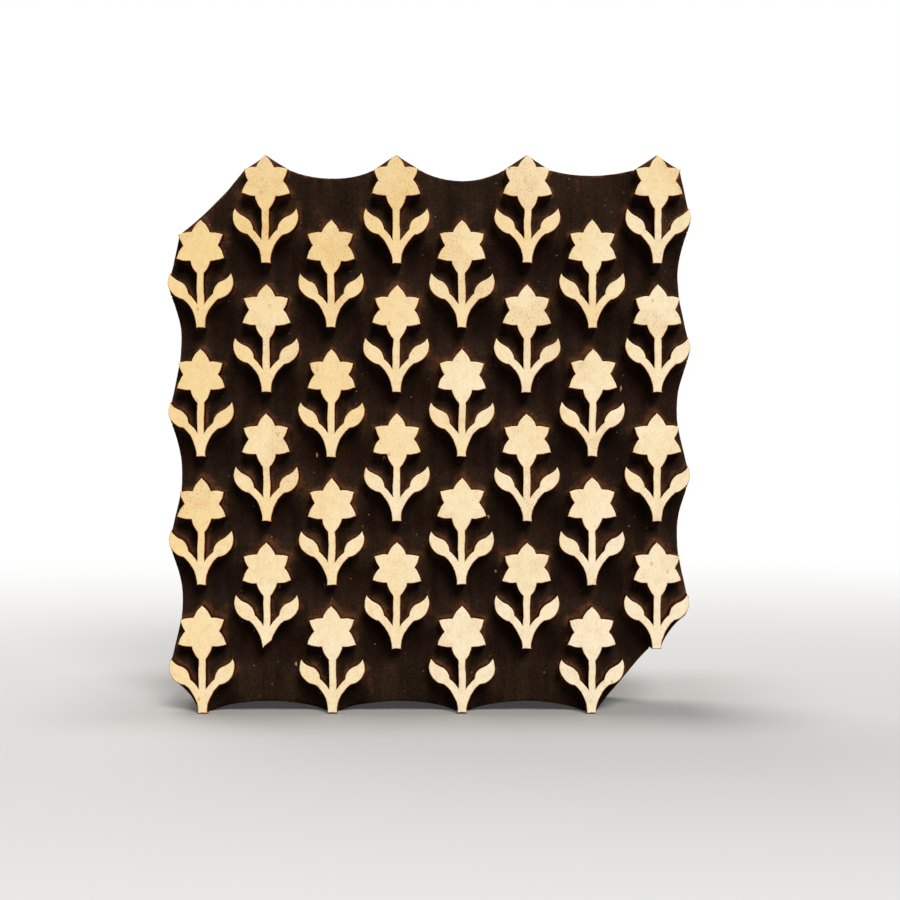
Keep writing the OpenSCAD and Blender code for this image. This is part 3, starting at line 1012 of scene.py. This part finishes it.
def add_floor(colours):
    """A wide round floor, which belongs to the stage."""
    form = bmesh.new()
    bmesh.ops.create_circle(form, cap_ends=True, segments=FLOOR_SIDES, radius=FLOOR_RADIUS)
    floor = as_object(form, "studio_floor")
    floor.data.materials.append(floor_finish(colours))


def add_camera(stage):
    """The camera, in front of the printing face."""
    camera = bpy.data.cameras.new("photo_camera")
    camera.lens = stage.lens
    camera.sensor_width = SENSOR_WIDTH
    stand = placed("photo_camera", camera)
    place = (stage.camera_side, FACE_Y - stage.camera_distance, stage.camera_height)
    aim(stand, place, (stage.camera_side, FACE_Y, stage.aim_height))
    bpy.context.scene.camera = stand


def near_seam(face, axis, seams):
    """Whether a face lies close to a seam between two boards."""
    place = face.calc_center_median()[axis]
    return min(abs(place - seam) for seam in seams) < SEAM_REACH


def add_boards(nodes, axis, material, sizes):
    """Boards with eased edges, one piece for each packed board, in order along X (0) or Z (2)."""
    seams = [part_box(node)[0][axis] for node in nodes[1:]]
    for number, node in enumerate(nodes):
        form, eased = eased_copy(node, BOARD_GAP, sizes.board_edge)
        wear(form, eased)
        wear(form, [face for face in eased if near_seam(face, axis, seams)], -1)
        layer = form.faces.layers.float.new("board")
        for face in form.faces:
            face[layer] = number
        follow_saw(form, sizes)
        add_piece(form, node + "_eased", node, material)


class PRINTING_BLOCK_OT_carve_plank(bpy.types.Operator):
    """Carve the face plank with its sprigs, its gouged ground and its sawn outline"""

    bl_idname = "printing_block.carve_plank"
    bl_label = "Carve printing plank"

    def execute(self, context):
        settings = context.scene.printing_block
        form = carve(settings.sizes)
        add_piece(form, "carved_plank", "printing_plank", carved_finish(settings.colours))
        return {"FINISHED"}


class PRINTING_BLOCK_OT_lay_core(bpy.types.Operator):
    """Lay the three core boards, with the grain across the block"""

    bl_idname = "printing_block.lay_core"
    bl_label = "Lay core boards"

    def execute(self, context):
        settings = context.scene.printing_block
        tints = settings.colours
        wood = wood_finish("core_wood", "X", tints.core_dark, tints.core_light, tints.grime, soil=0.6)
        nodes = ("core_board_lower", "core_board_middle", "core_board_upper")
        add_boards(nodes, 2, wood, settings.sizes)
        return {"FINISHED"}


class PRINTING_BLOCK_OT_lay_back(bpy.types.Operator):
    """Lay the three back boards, with the grain upright"""

    bl_idname = "printing_block.lay_back"
    bl_label = "Lay back boards"

    def execute(self, context):
        settings = context.scene.printing_block
        tints = settings.colours
        wood = wood_finish("back_wood", "Z", tints.back_dark, tints.back_light, tints.grime, soil=0.55)
        nodes = ("back_board_left", "back_board_centre", "back_board_right")
        add_boards(nodes, 0, wood, settings.sizes)
        return {"FINISHED"}


class PRINTING_BLOCK_OT_drive_pegs(bpy.types.Operator):
    """Drive the seven pegs that pin the layers together"""

    bl_idname = "printing_block.drive_pegs"
    bl_label = "Drive pegs"

    def execute(self, context):
        settings = context.scene.printing_block
        tints = settings.colours
        form, eased = eased_copy("pegs", MERGE_GAP, settings.sizes.peg_edge)
        wear(form, eased)
        wood = wood_finish(
            "peg_wood",
            "Y",
            tints.peg_dark,
            tints.peg_light,
            tints.grime,
            ring=1.6 * MM,
            pith=(0.01, 0.02),
            soil=0.3,
        )
        add_piece(form, "pegs_eased", "pegs", wood)
        return {"FINISHED"}


class PRINTING_BLOCK_OT_shape_handle(bpy.types.Operator):
    """Shape the arched handle and round it where the hand holds it"""

    bl_idname = "printing_block.shape_handle"
    bl_label = "Shape handle"

    def execute(self, context):
        settings = context.scene.printing_block
        tints = settings.colours
        form = rubbed_round(merged_copy("handle", MERGE_GAP), settings.sizes.handle_step, HANDLE_RUBS)
        wood = wood_finish(
            "handle_wood",
            "X",
            tints.handle_dark,
            tints.handle_light,
            tints.grime,
            ring=4 * MM,
            soil=0.3,
            roughness=0.42,
        )
        add_piece(form, "handle_rounded", "handle", wood)
        return {"FINISHED"}


class PRINTING_BLOCK_OT_drive_screws(bpy.types.Operator):
    """Drive the four slotted screws of the handle"""

    bl_idname = "printing_block.drive_screws"
    bl_label = "Drive screws"

    def execute(self, context):
        settings = context.scene.printing_block
        form, _ = eased_copy("handle_screws", MERGE_GAP, settings.sizes.screw_edge)
        add_piece(form, "screws_worn", "handle_screws", iron_finish(settings.colours))
        return {"FINISHED"}


class PRINTING_BLOCK_OT_set_stage(bpy.types.Operator):
    """Set the floor, the lamps and the camera"""

    bl_idname = "printing_block.set_stage"
    bl_label = "Set stage"

    def execute(self, context):
        settings = context.scene.printing_block
        stage = settings.stage
        add_floor(settings.colours)
        key = add_lamp("front_light", "SUN", KEY_PLACE, stage.key_strength)
        key.angle = stage.key_spread
        rear = add_lamp("rear_lamp", "AREA", REAR_PLACE, stage.back_power)
        rear.shape = "DISK"
        rear.size = REAR_SIZE
        make_sky(stage.sky)
        add_camera(stage)
        context.scene.view_settings.view_transform = "Standard"
        return {"FINISHED"}


class PRINTING_BLOCK_PT_panel(bpy.types.Panel):
    """Settings and steps of the printing block"""

    bl_idname = "PRINTING_BLOCK_PT_panel"
    bl_label = "Printing block"
    bl_space_type = "VIEW_3D"
    bl_region_type = "UI"
    bl_category = "Printing block"

    def draw(self, context):
        settings = context.scene.printing_block
        for group in (settings.sizes, settings.colours, settings.stage):
            box = self.layout.box()
            for name in group.__annotations__:
                box.prop(group, name)
        for step in STEPS:
            self.layout.operator(step.bl_idname)


STEPS = (
    PRINTING_BLOCK_OT_carve_plank,
    PRINTING_BLOCK_OT_lay_core,
    PRINTING_BLOCK_OT_lay_back,
    PRINTING_BLOCK_OT_drive_pegs,
    PRINTING_BLOCK_OT_shape_handle,
    PRINTING_BLOCK_OT_drive_screws,
    PRINTING_BLOCK_OT_set_stage,
)
CLASSES = (BlockSizes, BlockColours, StageSettings, BlockSettings, *STEPS, PRINTING_BLOCK_PT_panel)


def register():
    """Registers the classes and the scene's settings."""
    for cls in CLASSES:
        bpy.utils.register_class(cls)
    bpy.types.Scene.printing_block = PointerProperty(type=BlockSettings)


def unregister():
    """Removes the settings and the classes."""
    del bpy.types.Scene.printing_block
    for cls in reversed(CLASSES):
        bpy.utils.unregister_class(cls)


def main():
    """Builds the block and its stage."""
    register()
    bpy.ops.printing_block.carve_plank()
    bpy.ops.printing_block.lay_core()
    bpy.ops.printing_block.lay_back()
    bpy.ops.printing_block.drive_pegs()
    bpy.ops.printing_block.shape_handle()
    bpy.ops.printing_block.drive_screws()
    bpy.ops.printing_block.set_stage()


if __name__ == "__main__":
    main()
